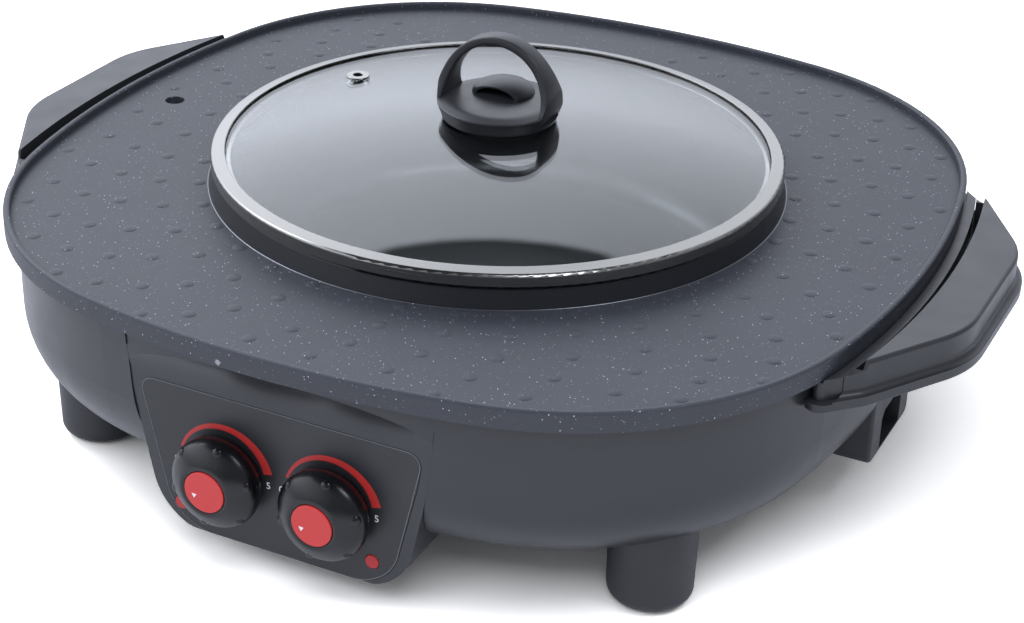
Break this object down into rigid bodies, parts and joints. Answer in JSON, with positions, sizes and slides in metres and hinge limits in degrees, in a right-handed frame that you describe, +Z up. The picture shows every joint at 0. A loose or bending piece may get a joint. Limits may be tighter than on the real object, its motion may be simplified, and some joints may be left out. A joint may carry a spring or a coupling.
{
  "type": "electric hot pot with griddle surround",
  "caption": "Square griddle pan with a deep round pot well and loose domed glass lid, on a heated moulded base with two control knobs, side handles and a grease cup.",
  "frame": {"origin": "on the floor under the middle of the object, which is also directly under the axis of the round pot well", "axes": "+Z up; the control panel faces -Y; the two carrying handles are on +X and -X; the drain hole and the grease cup are on -X"},
  "size_m": [0.442, 0.3849, 0.164],
  "materials": {
    "pan_nonstick": "cast aluminium with a matte charcoal granite-speckled non-stick coating",
    "clear_glass": "clear toughened glass",
    "polished_steel": "polished stainless steel sheet",
    "lid_knob_phenolic": "satin black heat-proof moulding",
    "clear_silicone": "translucent silicone rubber",
    "bowl_moulding": "satin charcoal heat-resistant moulding",
    "handle_moulding": "satin charcoal moulding with a glossy side",
    "foot_moulding": "matte charcoal moulding",
    "bracket_moulding": "matte charcoal moulding",
    "fascia_film": "blue-charcoal printed plate",
    "control_knob_gloss": "high-gloss black moulding",
    "cap_red": "red satin cap",
    "lens_red": "red translucent lens",
    "rubber_black": "black rubber",
    "silicone_pad": "grey heat-proof silicone",
    "aluminised_sheet": "aluminised pressed steel",
    "element_sheath": "dark annealed steel sheath",
    "cover_sheet": "black coated pressed steel",
    "screw_steel": "zinc-plated steel",
    "shaft_steel": "turned steel",
    "thermostat_case": "cream ceramic and steel control body",
    "lamp_glass": "neon lamp in a clear sleeve",
    "inlet_moulding": "black heat-proof moulding",
    "contact_brass": "nickel-plated brass contacts",
    "ceramic_block": "white steatite ceramic",
    "cup_moulding": "dark heat-resistant moulding"
  },
  "bodies": {
    "base": {"pan_rest_pads": "silicone_pad", "base_bowl": "bowl_moulding", "bottom_cover": "cover_sheet", "bottom_cover_screws": "screw_steel", "foot_front_left": "foot_moulding", "foot_front_right": "foot_moulding", "foot_rear_left": "foot_moulding", "foot_rear_right": "foot_moulding", "foot_pads": "rubber_black", "foot_screws": "screw_steel", "control_housing": "bowl_moulding", "fascia_panel": "fascia_film", "indicator_lens_left": "lens_red", "indicator_lens_right": "lens_red", "indicator_lamps": "lamp_glass", "thermostat_left": "thermostat_case", "thermostat_right": "thermostat_case", "handle_top_left": "handle_moulding", "handle_top_right": "handle_moulding", "handle_lower_left": "handle_moulding", "handle_lower_right": "handle_moulding", "handle_screws": "screw_steel", "drip_cup_bracket_left": "bracket_moulding", "drip_cup_bracket_right": "bracket_moulding", "heat_shield": "aluminised_sheet", "shield_posts": "screw_steel", "shield_screws": "screw_steel", "grill_element": "element_sheath", "pot_element": "element_sheath", "element_clamps": "aluminised_sheet", "pot_element_rests": "ceramic_block", "power_inlet": "inlet_moulding", "inlet_pins": "contact_brass", "inlet_screws": "screw_steel", "terminal_block": "ceramic_block", "thermal_fuse": "ceramic_block"},
    "pan": {"griddle_pan": "pan_nonstick"},
    "lid": {"lid_glass": "clear_glass", "lid_rim": "polished_steel", "lid_vent_grommet": "polished_steel", "lid_knob_base": "lid_knob_phenolic", "lid_knob_arch": "lid_knob_phenolic", "lid_knob_hood": "lid_knob_phenolic", "lid_knob_washer": "clear_silicone", "lid_knob_screw": "screw_steel"},
    "knob_left": {"control_knob_left": "control_knob_gloss", "knob_cap_left": "cap_red", "control_shaft_left": "shaft_steel"},
    "knob_right": {"control_knob_right": "control_knob_gloss", "knob_cap_right": "cap_red", "control_shaft_right": "shaft_steel"},
    "drip_cup": {"drip_cup": "cup_moulding"}
  },
  "joints": [
    {"name": "pan_lift", "type": "slide", "parent": "base", "child": "pan", "axis": [0, 0, 1], "range_m": [0, 0.1]},
    {"name": "lid_lift", "type": "slide", "parent": "pan", "child": "lid", "axis": [0, 0, 1], "range_m": [0, 0.08]},
    {"name": "knob_left_turn", "type": "hinge", "parent": "base", "child": "knob_left", "pos_m": [-0.0233, -0.19, 0.0427], "axis": [0, 1, 0], "range_deg": [0, 210]},
    {"name": "knob_right_turn", "type": "hinge", "parent": "base", "child": "knob_right", "pos_m": [0.0233, -0.19, 0.0427], "axis": [0, 1, 0], "range_deg": [0, 210]},
    {"name": "drip_cup_slide", "type": "slide", "parent": "base", "child": "drip_cup", "axis": [-1, 0, 0], "range_m": [0, 0.05]}
  ]
}
